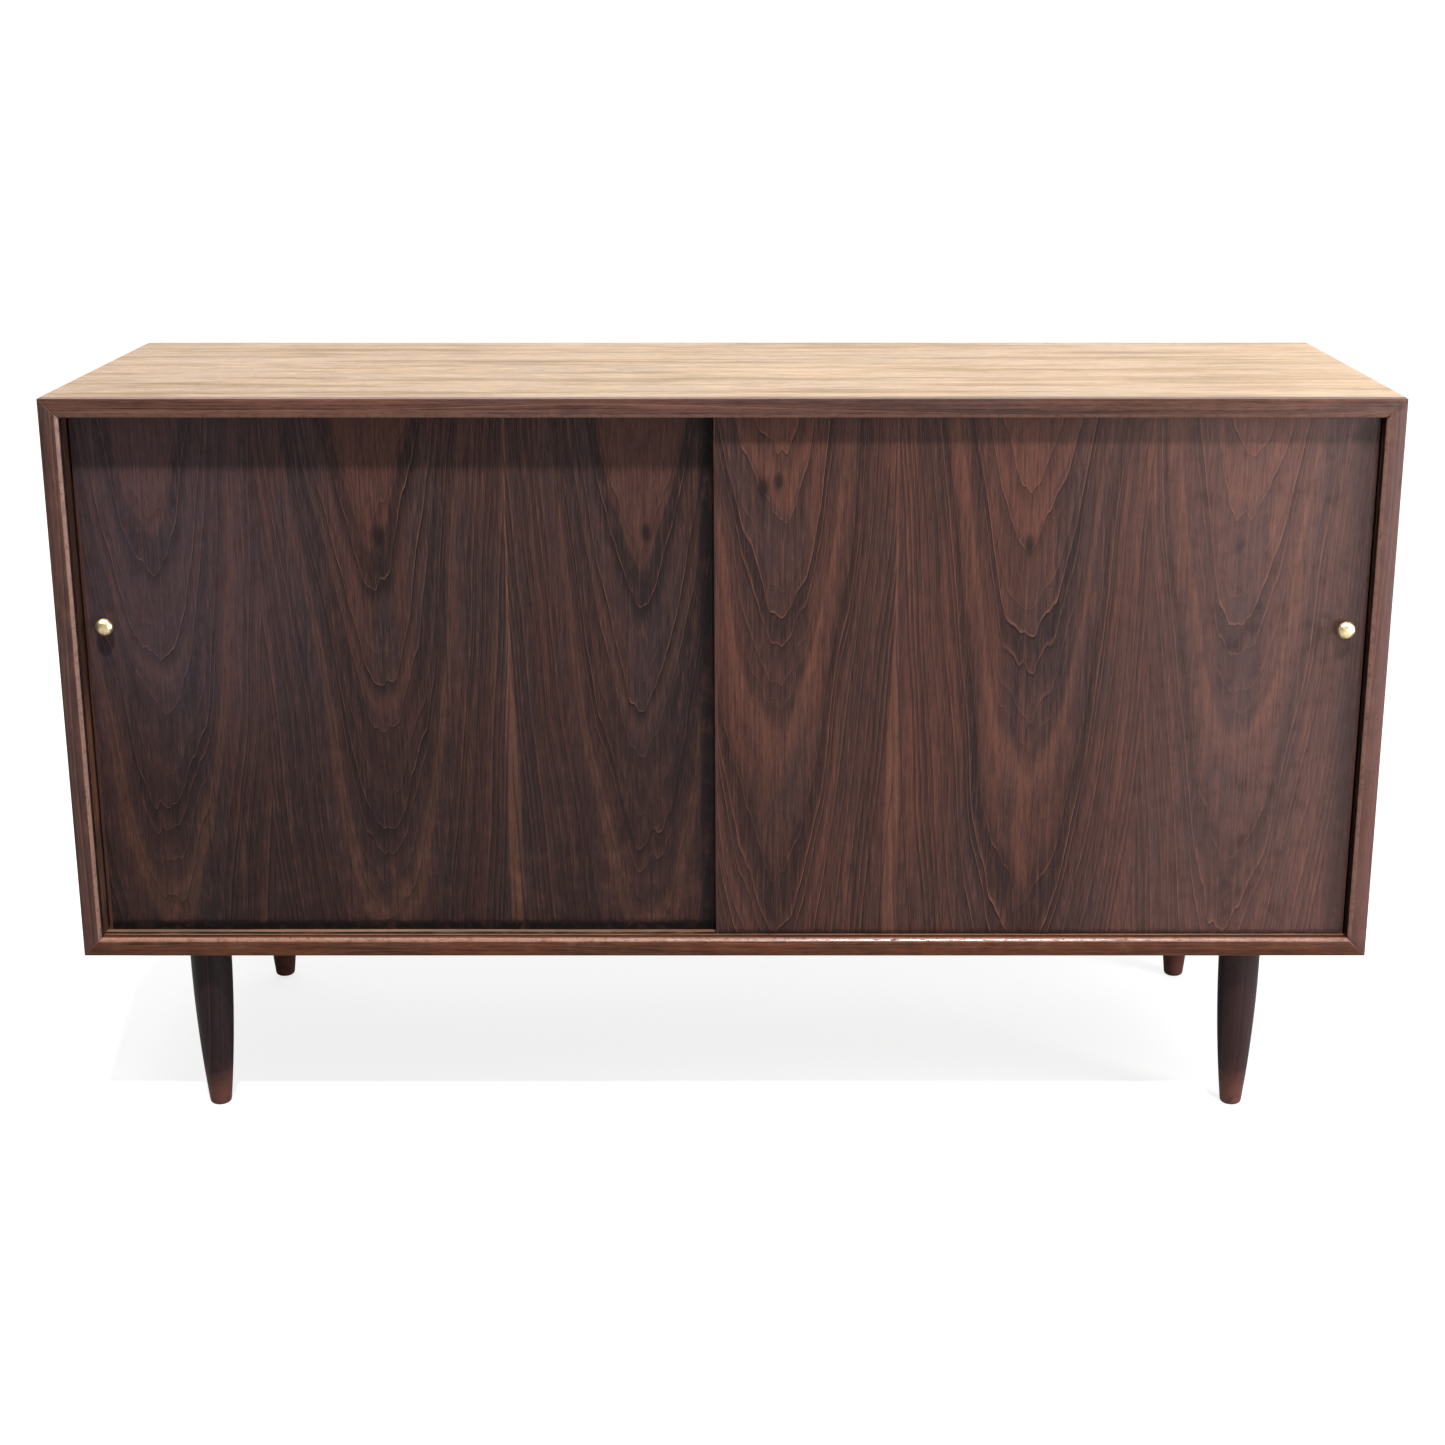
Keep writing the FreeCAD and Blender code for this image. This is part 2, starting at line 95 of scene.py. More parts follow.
class Graph:
    """Node tree of one material, with short calls for the nodes that the finishes share."""

    def __init__(self, name: str) -> None:
        """Start a material that holds only its surface shader.

        Args:
            name: Name of the material.
        """
        self.material = bpy.data.materials.new(name)
        self.material.use_nodes = True
        self.tree = self.material.node_tree
        self.tree.nodes.clear()
        self.shader = self.tree.nodes.new("ShaderNodeBsdfPrincipled")
        output = self.tree.nodes.new("ShaderNodeOutputMaterial")
        self.tree.links.new(self.shader.outputs["BSDF"], output.inputs["Surface"])
        self.coordinates = self.tree.nodes.new("ShaderNodeTexCoord")

    def feed(self, socket: Socket, value: Value) -> None:
        """Link a socket into another, or set it to a constant."""
        if isinstance(value, bpy.types.NodeSocket):
            self.tree.links.new(value, socket)
        else:
            socket.default_value = value

    def place(self) -> Socket:
        """Place on the piece, in metres."""
        return self.coordinates.outputs["Object"]

    def split(self, vector: Socket) -> tuple[Socket, Socket, Socket]:
        """X, Y and Z of a vector."""
        node = self.tree.nodes.new("ShaderNodeSeparateXYZ")
        self.feed(node.inputs[0], vector)
        return node.outputs[0], node.outputs[1], node.outputs[2]

    def join(self, x: Value, y: Value, z: Value) -> Socket:
        """Vector of three values."""
        node = self.tree.nodes.new("ShaderNodeCombineXYZ")
        for socket, value in zip(node.inputs, (x, y, z)):
            self.feed(socket, value)
        return node.outputs[0]

    def math(self, operation: str, *values: Value) -> Socket:
        """Result of one sum.

        Args:
            operation: Name of the operation, as the node has it.
            values: Its inputs.

        Returns:
            The result.
        """
        node = self.tree.nodes.new("ShaderNodeMath")
        node.operation = operation
        for socket, value in zip(node.inputs, values):
            self.feed(socket, value)
        return node.outputs[0]

    def add(self, *values: Value) -> Socket:
        """Sum of several values."""
        total = values[0]
        for value in values[1:]:
            total = self.math("ADD", total, value)
        return total

    def times(self, *values: Value) -> Socket:
        """Product of several values."""
        total = values[0]
        for value in values[1:]:
            total = self.math("MULTIPLY", total, value)
        return total

    def span(self, value: Value, low: float, high: float, to_low: float = 0.0,
             to_high: float = 1.0) -> Socket:
        """Value moved smoothly from one range to another and held there.

        Args:
            value: What is moved.
            low: Start of its own range.
            high: End of its own range.
            to_low: Result at low.
            to_high: Result at high.

        Returns:
            The moved value.
        """
        node = self.tree.nodes.new("ShaderNodeMapRange")
        node.interpolation_type = "SMOOTHSTEP"
        for socket, item in zip(node.inputs, (value, low, high, to_low, to_high)):
            self.feed(socket, item)
        return node.outputs[0]

    def noise(self, vector: Socket, pitch: Sequence[float], detail: float = 2.0, roughness: float = 0.5,
              seed: float = 0.0) -> Socket:
        """Noise from about 0.2 to 0.8, with its own pitch along each axis.

        Args:
            vector: Place.
            pitch: Size of one blotch along X, Y and Z, in metres.
            detail: Finer octaves.
            roughness: Their strength.
            seed: Moves the pattern, so that two noises differ.

        Returns:
            The noise.
        """
        stretch = self.tree.nodes.new("ShaderNodeMapping")
        self.feed(stretch.inputs["Vector"], vector)
        stretch.inputs["Scale"].default_value = [1 / size for size in pitch]
        stretch.inputs["Location"].default_value = [seed * stride for stride in SEED_STRIDE]
        node = self.tree.nodes.new("ShaderNodeTexNoise")
        self.feed(node.inputs["Vector"], stretch.outputs["Vector"])
        node.inputs["Scale"].default_value = 1.0
        node.inputs["Detail"].default_value = detail
        node.inputs["Roughness"].default_value = roughness
        return node.outputs["Fac"]

    def chance(self, value: Socket) -> Socket:
        """Random number from 0 to 1 for each whole number."""
        node = self.tree.nodes.new("ShaderNodeTexWhiteNoise")
        node.noise_dimensions = "1D"
        self.feed(node.inputs["W"], value)
        return node.outputs["Value"]

    def mix(self, share: Value, below: Value, above: Value) -> Socket:
        """Lay one colour over another.

        Args:
            share: Share of the upper one.
            below: Lower colour.
            above: Upper colour.

        Returns:
            The mixed colour.
        """
        node = self.tree.nodes.new("ShaderNodeMix")
        node.data_type = "RGBA"
        for index, value in zip(MIX_INPUTS, (share, below, above)):
            self.feed(node.inputs[index], value)
        return node.outputs[MIX_OUTPUT]

    def bump(self, height: Socket, depth: float) -> None:
        """Raise the surface by height times depth, in metres."""
        node = self.tree.nodes.new("ShaderNodeBump")
        node.inputs["Distance"].default_value = depth
        self.feed(node.inputs["Height"], height)
        self.feed(self.shader.inputs["Normal"], node.outputs["Normal"])

    def constants(self, **values: Value) -> None:
        """Set the shader's own sockets; a name's underscores stand for spaces."""
        for name, value in values.items():
            self.feed(self.shader.inputs[name.replace("_", " ")], value)


# Finishes
# Spans: where a share starts, where it is full, and at times its value at both ends.
MIDDLE = 0.5
BAND_PATCHES = (0.3, 0.55, 0.45, 1.0)
BAND_SEED = 41
KNOT_EDGE = (1.5, 0.4)
GREY_PATCHES = (0.4, 0.66)
RED_STRIPES = (0.46, 0.66, 0.0, 0.7)
LAYER_PALE = (0.54, 0.75, 0.0, 0.45)
LAYER_DARK = (0.46, 0.26, 0.0, 0.6)
HEART_RED = 0.75
STREAK_PALE, STREAK_PALE_SHARE = (0.5, 0.74), 0.7
STREAK_DARK, STREAK_DARK_SHARE = (0.5, 0.26), 1.4
FLECK_PALE, FLECK_PALE_SHARE = (0.5, 0.7), 0.6
FLECK_DARK = (0.5, 0.3)
CLOUD_DARK = (0.52, 0.3)
CLOUD_DULL = (0.55, 0.36)
PORE_DARK = (0.56, 0.68)

# Rings and their lines.
VIGOUR = (0.25, 0.95, 0.08, 1.0)
BROKEN = (0.34, 0.6, 0.3, 1.0)
ROOMY = (0.0015, 0.007, 0.3, 1.0)
LINE_EDGE = (0.0016, 0.0003)
FADE_EDGE, FADE_SHARE = (0.016, 0.0), 0.5
GLINT_EDGE, GLINT_SHARE = (0.0016, 0.0004), 0.62
RING_LEAN = 0.8
RING_SWAY = 0.035
CROWN_SWAY = 0.03
TIP_ROUND = 0.004
HEART_EDGE = (0.004, 0.016)
UNEVEN_RINGS = 1.5
AXIS_SUM = 3

# Sapwood streaks.
SAP_TAPER = (0.62, 0.36)
SAP_SWAY = 0.012
SAP_EDGE = (1.25, 0.55)
SAP_THREADS = (0.3, 0.55, 0.35, 1.0)

# Finish on the wood.
PORE_ROUGHNESS = 0.1
SMEAR_ROUGHNESS = 0.16
SHEEN_ROUGHNESS = 0.35
OIL_SHEEN: Colour = (1.0, 0.72, 0.47, 1.0)
RELIEF_OF_PORE, RELIEF_OF_LINE, RELIEF_OF_STREAK = -1.0, -0.5, 0.4
RELIEF_DEPTH = 0.12 * MM


@dataclass(frozen=True)
class Leaf:
    """One leaf of veneer on a wide face.

    Attributes:
        centre: Middle of its crown figure, across the grain.
        start: Where the leaf begins, across the grain.
        slip: How far its figure is shifted along the grain.
    """

    centre: float
    start: float
    slip: float = 0.0


@dataclass(frozen=True)
class Knot:
    """Small dark pin knot.

    Attributes:
        across: Place across the grain.
        along: Place along the grain.
        width: Half width across the grain.
        length: Half length along the grain.
        strength: How dark it is.
    """

    across: float
    along: float
    width: float
    length: float
    strength: float = 0.8

    def share(self, graph: "WoodGraph") -> Socket:
        """How dark each place gets.

        Args:
            graph: The wood's nodes.

        Returns:
            The share, from 0 to 1.
        """
        aside = graph.times(graph.add(graph.across, -self.across), 1 / self.width)
        ahead = graph.times(graph.add(graph.along, -self.along), 1 / self.length)
        far = graph.math("SQRT", graph.add(graph.times(aside, aside), graph.times(ahead, ahead)))
        return graph.span(far, *KNOT_EDGE, 0.0, self.strength)


@dataclass(frozen=True)
class Palette:
    """Tones of one wood.

    Attributes:
        dark: Latewood lines and pores.
        mid: Most of the surface.
        light: Pale streaks beside the lines.
        red: Warm heart of the figure.
        grey: Cool, faded patches.
    """

    dark: Colour
    mid: Colour
    light: Colour
    red: Colour
    grey: Colour

    @classmethod
    def seen(cls, *tones: tuple[int, int, int]) -> "Palette":
        """Palette of tones given as they look, in the order of the attributes."""
        return cls(*(tone(*channels) for channels in tones))


@dataclass(frozen=True)
class Trait:
    """Blotches that something in the wood follows, longer along the grain than across it.

    Attributes:
        across: Size of one blotch across the grain.
        along: Its size along the grain.
        detail: Finer octaves.
        rough: Their strength.
        seed: Sets it apart from the wood's other traits.
    """

    across: float
    along: float
    detail: float
    rough: float
    seed: float


STREAKS = Trait(0.0024, 0.22, 4.0, 0.65, 13)
FLECKS = Trait(0.002, 0.028, 2.0, 0.7, 37)
STRIPES = Trait(0.035, 0.5, 2.0, 0.5, 17)
PATCHES = Trait(0.1, 0.25, 2.0, 0.5, 19)
CLOUDS = Trait(0.035, 0.35, 4.0, 0.7, 39)
PORES = Trait(0.0009, 0.012, 2.0, 0.6, 23)
SMEARS = Trait(0.09, 0.2, 3.0, 0.55, 29)
BREAKS = Trait(0.012, 0.1, 2.0, 0.6, 11)
STRAIGHT_STRAY = Trait(0.12, 0.7, 1.0, 0.5, 0)
CROWN_STRAY = Trait(0.5, 0.3, 1.0, 0.5, 0)
CROWN_TEETH = Trait(0.023, 0.3, 2.0, 0.5, 3)
CROWN_DRIFT = Trait(0.06, 0.35, 1.0, 0.5, 5)
SAP_STRAY = Trait(0.5, 0.25, 2.0, 0.5, 31)
SAP_THREAD = Trait(0.002, 0.08, 2.0, 0.5, 33)
RING_UNEVEN = Trait(1.7, 1.0, 1.0, 0.5, 8)
RING_LAYERS = Trait(3.0, 1.0, 2.0, 0.6, 21)


@dataclass(frozen=True)
class Crown:
    """Shape of the pointed crown figure that flat-cut veneer shows.

    Attributes:
        flare: Slope of a ring's two arms at its tip.
        curve: How fast the arms steepen away from the tip, per metre.
        spacing: Usual distance from tip to tip along the grain.
        ragged: Height of the teeth at the tips.
        drift: How far a whole stretch of a ring strays along the grain.
        heart: Place along the grain where the last ring closes and the plain heart begins.
        heart_calm: Share of the line strength that is lost in the heart.
    """

    flare: float = 0.6
    curve: float = 54.0
    spacing: float = 0.034
    ragged: float = 0.078
    drift: float = 0.09
    heart: float = 0.64
    heart_calm: float = 0.6


@dataclass(frozen=True)
class Streak:
    """Warm pale streak of sapwood at the joint between two leaves.

    Attributes:
        across: Place of the joint.
        narrow: Half width at the top.
        wide: Half width at the bottom.
        strength: How strongly it shows.
    """

    across: float
    narrow: float = 0.0012
    wide: float = 0.008
    strength: float = 0.8


@dataclass(frozen=True)
class Band:
    """Stretch with its own tint, used for painted shade, painted light, plain darkening and the warmer tone
    at the legs' feet.

    Attributes:
        axis: Axis that the stretch is measured along.
        low: Where it starts.
        high: Where it ends.
        soft: Width over which each end fades.
        tint: Its tone.
        strength: How strongly it shows.
        ragged: How far its ends stray.
        patch: Size of the patches that break it up.
        within: Another stretch that this one is kept to.
    """

    axis: Axis
    low: float
    high: float
    soft: float
    tint: Colour
    strength: float = 0.5
    ragged: float = 0.0
    patch: float = 0.02
    within: Optional["Band"] = None

    def share(self, graph: Graph, seed: float) -> Socket:
        """How much of the tint each place gets.

        Args:
            graph: The material's nodes.
            seed: Moves its pattern.

        Returns:
            The share, from 0 to 1.
        """
        place = graph.place()
        stray = graph.noise(place, [self.patch] * 3, 3.0, 0.6, seed)
        shift = graph.times(graph.add(stray, -MIDDLE), self.ragged)
        along = graph.add(graph.split(place)[self.axis.value], shift)
        rise = graph.span(along, self.low - self.soft, self.low)
        fall = graph.span(along, self.high + self.soft, self.high)
        share = graph.times(rise, fall, graph.span(stray, *BAND_PATCHES), self.strength)
        return graph.times(share, self.within.share(graph, seed)) if self.within else share


@dataclass(frozen=True)
class WoodFinish:
    """Satin-finished wood, crown-cut where it has leaves and straight-grained elsewhere.

    Attributes:
        name: Name of the material.
        palette: Its tones.
        grain: Direction of the grain.
        across: Direction across the grain on the wide face.
        leaves: Leaves of veneer, in order; none makes straight grain.
        crown: Shape of the leaves' figure.
        streaks: Pale streaks at the joints.
        knots: Pin knots.
        bands: Tinted stretches: painted shade and light, and plain darkening.
        spacing: Distance from ring to ring in straight grain.
        streak_strength: Strength of the fine streaks.
        fleck_strength: Strength of the short flecks.
        cloud_strength: Strength of the broad dark clouds along the grain.
        dulling: Roughness that the clouds add, where the oil is thin.
        line_strength: Darkness of the ring lines.
        pore_strength: Darkness of the pores.
        roughness: Roughness of the finish.
        specular: Strength of the reflection.
        sheen: Strength of the pale sheen that rubbed oil shows at a flat angle.
        seed: Makes two pieces of one wood differ.
    """

    name: str
    palette: Palette
    grain: Axis
    across: Axis
    leaves: tuple[Leaf, ...] = ()
    crown: Crown = Crown()
    streaks: tuple[Streak, ...] = ()
    knots: tuple[Knot, ...] = ()
    bands: tuple[Band, ...] = ()
    spacing: float = 0.005
    streak_strength: float = 0.5
    fleck_strength: float = 0.42
    cloud_strength: float = 0.0
    dulling: float = 0.0
    line_strength: float = 1.0
    pore_strength: float = 0.4
    roughness: float = 0.44
    specular: float = 0.16
    sheen: float = 0.0
    seed: float = 0.0

    def material(self) -> Material:
        """Make the material."""
        return WoodGraph(self).finish()


class WoodGraph(Graph):
    """Node tree of one wood, which knows the place across, along and through its grain."""

    def __init__(self, wood: WoodFinish) -> None:
        """Start the material.

        Args:
            wood: The finish that it shows.
        """
        super().__init__(wood.name)
        self.wood = wood
        xyz = self.split(self.place())
        self.across, self.along = xyz[wood.across.value], xyz[wood.grain.value]
        self.through = xyz[AXIS_SUM - wood.across.value - wood.grain.value]

    def blotches(self, trait: Trait) -> Socket:
        """Noise of one trait, turned to the grain."""
        sizes = [trait.across] * 3
        sizes[self.wood.grain.value] = trait.along
        return self.noise(self.place(), sizes, trait.detail, trait.rough, self.wood.seed + trait.seed)

    def from_ring(self, number: Socket, trait: Trait) -> Socket:
        """Noise of one trait that changes from ring to ring."""
        place, sizes = self.join(number, 0.0, 0.0), (trait.across, 1.0, 1.0)
        return self.noise(place, sizes, trait.detail, trait.rough, self.wood.seed + trait.seed)

    def stray(self, trait: Trait, reach: float) -> Socket:
        """How far a trait moves something to either side, within about a third of the reach."""
        return self.times(self.add(self.blotches(trait), -MIDDLE), reach)

    def stepped(self, pick: Callable[[Leaf], float]) -> Value:
        """Value that each leaf has for itself.

        Args:
            pick: Reads the value from a leaf.

        Returns:
            The value of the leaf at each place.
        """
        leaves = self.wood.leaves
        result: Value = pick(leaves[0])
        for before, leaf in zip(leaves, leaves[1:]):
            inside = self.math("GREATER_THAN", self.across, leaf.start)
            result = self.add(result, self.times(inside, pick(leaf) - pick(before)))
        return result

    def straight_rings(self) -> tuple[Socket, Value, Value]:
        """Rings of straight grain, leaning through the board so that its edges show them too.

        Returns:
            The ring number, the width of one ring as cut, and how calm the figure is there.
        """
        sway = self.stray(STRAIGHT_STRAY, RING_SWAY)
        across = self.add(self.across, self.times(self.through, RING_LEAN), sway)
        return self.times(across, 1 / self.wood.spacing), self.wood.spacing, 0.0

    def crown_rings(self) -> tuple[Socket, Value, Value]:
        """Rings of the crown figure, nested V shapes whose tips point down the grain.

        Returns:
            The same three as for straight grain.
        """
        crown = self.wood.crown
        offset = self.math("SUBTRACT", self.across, self.stepped(lambda leaf: leaf.centre))
        offset = self.add(offset, self.stray(CROWN_STRAY, CROWN_SWAY))
        arm = self.math("SQRT", self.add(self.times(offset, offset), TIP_ROUND ** 2))
        reach = self.add(self.times(arm, crown.flare), self.times(arm, arm, crown.curve))
        reach = self.math("SUBTRACT", reach, self.along)
        reach = self.add(reach, self.stepped(lambda leaf: leaf.slip))
        reach = self.add(reach, self.stray(CROWN_TEETH, crown.ragged))
        reach = self.add(reach, self.stray(CROWN_DRIFT, crown.drift))
        slope = self.add(self.times(arm, 2 * crown.curve), crown.flare)
        steep = self.math("SQRT", self.add(self.times(slope, slope), 1.0))
        heart = self.span(reach, *(-crown.heart - depth for depth in HEART_EDGE))
        return self.times(reach, 1 / crown.spacing), self.math("DIVIDE", crown.spacing, steep), heart

    def marks(self, number: Socket, width: Value, calm: Value, roomy: Value) -> list[Socket]:
        """What the end of each ring leaves on the surface.

        Args:
            number: Ring number.
            width: Width of one ring as cut.
            calm: How calm the figure is.
            roomy: How little the rings crowd.

        Returns:
            Shares of the darker wood up to the line, of the pale edge past it, and of the line.
        """
        wood = self.wood
        ring, phase = self.math("FLOOR", number), self.math("FRACT", number)
        outside = self.times(phase, width)
        inside = self.times(self.math("SUBTRACT", 1.0, phase), width)
        vigour, next_vigour = (
            self.span(self.chance(self.add(ring, wood.seed + step)), *VIGOUR) for step in (0, 1))
        loud = self.math("SUBTRACT", 1.0, self.times(calm, wood.crown.heart_calm))
        broken = self.times(self.span(self.blotches(BREAKS), *BROKEN), loud)
        line = self.times(self.span(outside, *LINE_EDGE), vigour, broken, roomy, wood.line_strength)
        fade = self.times(self.span(outside, *FADE_EDGE), vigour, loud, FADE_SHARE)
        glint = self.times(self.span(inside, *GLINT_EDGE), next_vigour, broken, roomy, GLINT_SHARE)
        return [fade, glint, line]

    def sap(self, streak: Streak) -> Socket:
        """Share of a pale streak at each place.

        Args:
            streak: The streak.

        Returns:
            The share, from 0 to 1.
        """
        reach = self.span(self.along, *SAP_TAPER, streak.narrow, streak.wide)
        aside = self.add(self.across, -streak.across, self.stray(SAP_STRAY, SAP_SWAY))
        off = self.math("DIVIDE", self.math("ABSOLUTE", aside), reach)
        threads = self.span(self.blotches(SAP_THREAD), *SAP_THREADS)
        return self.times(self.span(off, *SAP_EDGE, 0.0, streak.strength), threads)

    def finish(self) -> Material:
        """Lay the wood's tints over each other and set its gloss and relief.

        Returns:
            The finished material.
        """
        wood, palette = self.wood, self.wood.palette
        number, width, calm = self.crown_rings() if wood.leaves else self.straight_rings()
        number = self.add(number, self.times(self.from_ring(number, RING_UNEVEN), UNEVEN_RINGS))
        roomy = self.span(width, *ROOMY) if wood.leaves else 1.0
        fade, glint, line = self.marks(number, width, calm, roomy)
        layer = self.from_ring(number, RING_LAYERS)
        streak, fleck, cloud = (self.blotches(trait) for trait in (STREAKS, FLECKS, CLOUDS))
        pore = self.span(self.blotches(PORES), *PORE_DARK)

        washes = [
            (self.span(self.blotches(PATCHES), *GREY_PATCHES), palette.grey),
            (self.span(self.blotches(STRIPES), *RED_STRIPES), palette.red),
            (self.times(self.span(layer, *LAYER_PALE), roomy), palette.light),
            (self.span(layer, *LAYER_DARK), palette.dark),
            (self.times(calm, HEART_RED), palette.red),
            (self.span(streak, *STREAK_PALE, 0.0, wood.streak_strength * STREAK_PALE_SHARE), palette.light),
            (self.span(streak, *STREAK_DARK, 0.0, wood.streak_strength * STREAK_DARK_SHARE), palette.dark),
            (self.span(fleck, *FLECK_PALE, 0.0, wood.fleck_strength * FLECK_PALE_SHARE), palette.light),
            (self.span(fleck, *FLECK_DARK, 0.0, wood.fleck_strength), palette.dark),
            (self.span(cloud, *CLOUD_DARK, 0.0, wood.cloud_strength), palette.dark),
            *((self.sap(sap), palette.light) for sap in wood.streaks),
            (fade, palette.dark),
            (glint, palette.light),
            (line, palette.dark),
            (self.times(pore, wood.pore_strength), palette.dark),
            *((knot.share(self), palette.dark) for knot in wood.knots),
            *((band.share(self, wood.seed + BAND_SEED + count), band.tint)
              for count, band in enumerate(wood.bands)),
        ]
        colour: Value = palette.mid
        for share, tint in washes:
            colour = self.mix(share, colour, tint)

        gloss = self.add(wood.roughness, self.times(pore, PORE_ROUGHNESS))
        gloss = self.add(gloss, self.stray(SMEARS, SMEAR_ROUGHNESS))
        gloss = self.add(gloss, self.span(cloud, *CLOUD_DULL, 0.0, wood.dulling))
        self.constants(Base_Color=colour, Specular_IOR_Level=wood.specular, Roughness=gloss)
        self.constants(Sheen_Weight=wood.sheen, Sheen_Roughness=SHEEN_ROUGHNESS, Sheen_Tint=OIL_SHEEN)
        relief = self.add(self.times(pore, RELIEF_OF_PORE), self.times(line, RELIEF_OF_LINE),
                          self.times(streak, RELIEF_OF_STREAK))
        self.bump(relief, RELIEF_DEPTH)
        return self.material


@dataclass(frozen=True)
class MetalFinish:
    """Metal with a fine worn surface.

    Attributes:
        name: Name of the material.
        colour: Its clean tone.
        tarnish: Tone of its dull patches.
        roughness: Roughness where clean.
        patch: Size of the dull patches.
        tarnish_share: How much of it is dull.
        tarnish_span: Noise at which the dull patches start and are full.
        tarnish_roughness: Roughness that they add.
        grit: Size of the fine scratches.
        grit_roughness: Roughness that they add.
        grit_depth: Their depth.
        grit_seed: Moves their pattern.
    """

    name: str
    colour: Colour
    tarnish: Colour
    roughness: float = 0.25
    patch: float = 4 * MM
    tarnish_share: float = 0.5
    tarnish_span: tuple[float, float] = (0.42, 0.66)
    tarnish_roughness: float = 0.25
    grit: float = 0.4 * MM
    grit_roughness: float = 0.06
    grit_depth: float = 0.02 * MM
    grit_seed: float = 4.0

    def material(self) -> Material:
        """Make the material.

        Returns:
            The new material.
        """
        graph = Graph(self.name)
        cloud = graph.noise(graph.place(), [self.patch] * 3, 3.0, 0.6)
        dull = graph.span(cloud, *self.tarnish_span, 0.0, self.tarnish_share)
        fine = graph.noise(graph.place(), [self.grit] * 3, 2.0, 0.5, self.grit_seed)
        gloss = graph.add(self.roughness, graph.times(dull, self.tarnish_roughness))
        gloss = graph.add(gloss, graph.times(fine, self.grit_roughness))
        graph.constants(Base_Color=graph.mix(dull, self.colour, self.tarnish), Metallic=1.0, Roughness=gloss)
        graph.bump(fine, self.grit_depth)
        return graph.material


FRONT_DOOR_TONES = Palette.seen((23, 15, 15), (63, 39, 34), (106, 68, 54), (80, 49, 41), (54, 38, 37))
REAR_DOOR_TONES = Palette.seen((17, 11, 12), (56, 37, 35), (100, 67, 53), (69, 43, 38), (48, 36, 37))
TOP_EDGING_TONES = Palette.seen((32, 19, 16), (80, 52, 44), (118, 80, 66), (92, 58, 47), (70, 49, 45))
SIDE_EDGING_TONES = Palette.seen((46, 30, 28), (78, 51, 47), (94, 63, 57), (84, 54, 48), (70, 50, 47))
LEFT_EDGING_TONES = Palette.seen((36, 22, 20), (74, 48, 42), (104, 70, 60), (82, 52, 44), (64, 45, 42))
BOTTOM_EDGING_TONES = Palette.seen((28, 13, 8), (79, 44, 29), (118, 70, 43), (96, 51, 32), (66, 41, 30))
TOP_TONES = Palette.seen((18, 9, 5), (134, 97, 58), (214, 172, 116), (118, 78, 45), (104, 78, 50))
CARCASS_TONES = Palette.seen((50, 31, 25), (98, 66, 52), (134, 94, 72), (108, 66, 50), (86, 64, 54))
BACK_TONES = Palette.seen((86, 58, 36), (150, 114, 76), (178, 142, 100), (150, 104, 66), (134, 106, 76))
TRACK_TONES = Palette.seen((42, 26, 20), (122, 86, 62), (168, 130, 102), (116, 76, 52), (104, 82, 68))
LEG_TONES = Palette.seen((15, 9, 10), (34, 21, 23), (56, 33, 32), (48, 26, 26), (30, 22, 24))

# Near-black tint: painted shade in the reveals, on the edging's inner sides, in the track's front groove and
# towards the right of the top and bottom edging, the painted shadow of the front door on the rear door, and
# plain darkening towards the doors' bottoms.
DARK_TINT = tone(12, 9, 11)
# Painted bluish haze of reflected light, on the rear door's upper left.
PAINTED_COOL_HAZE = tone(70, 62, 72)
# Painted pale haze of light, towards the right end of the front door.
PAINTED_PALE_HAZE = tone(124, 94, 90)
# Painted highlight tone for the edging's bevel.
PAINTED_HIGHLIGHT_TONE = tone(150, 112, 98)
# Painted shade towards the ends of the top.
PAINTED_TOP_SHADE = tone(90, 58, 36)
KNOTS_LEFT = (Knot(-0.363, 0.656, 0.006, 0.012), Knot(-0.081, 0.659, 0.005, 0.01))
KNOTS_RIGHT = (Knot(0.042, 0.709, 0.006, 0.011), Knot(0.058, 0.716, 0.005, 0.009),
               Knot(0.32, 0.649, 0.004, 0.012), Knot(0.54, 0.649, 0.004, 0.01),
               Knot(0.634, 0.573, 0.009, 0.004, 0.6))
KNOTS_TOP = (Knot(0.1, -0.3, 0.008, 0.016, 0.6), Knot(0.02, -0.5, 0.008, 0.013, 0.6),
             Knot(0.0, -0.1, 0.007, 0.018, 0.6), Knot(0.04, 0.17, 0.008, 0.013, 0.6),
             Knot(0.1, 0.47, 0.009, 0.016, 0.6), Knot(-0.06, 0.25, 0.006, 0.012, 0.6),
             Knot(-0.08, -0.42, 0.006, 0.014, 0.6), Knot(0.05, 0.6, 0.007, 0.012, 0.6),
             Knot(-0.12, 0.02, 0.006, 0.01, 0.6), Knot(0.15, -0.02, 0.008, 0.02, 0.5))
X, Y, Z = Axis
# Painted highlight along the inner bevel of the front edging.
PAINTED_BEVEL_HIGHLIGHT = Band(Y, -0.2296, -0.2263, 0.0004, PAINTED_HIGHLIGHT_TONE, 0.55, 0.0, 0.006)
# Upper reach of the painted cool haze on the rear door.
UPPER = Band(Z, 0.56, 1.0, 0.2, PAINTED_COOL_HAZE, 1.0)
# Front reach of the painted shade on the side boards' inner faces.
FRONT_REVEAL = Band(Y, -1.0, -0.202, 0.01, DARK_TINT, 1.0, 0.0, 0.15)
RIGHT_SHADE = Band(X, 0.3, 1.0, 0.5, DARK_TINT, 0.3)

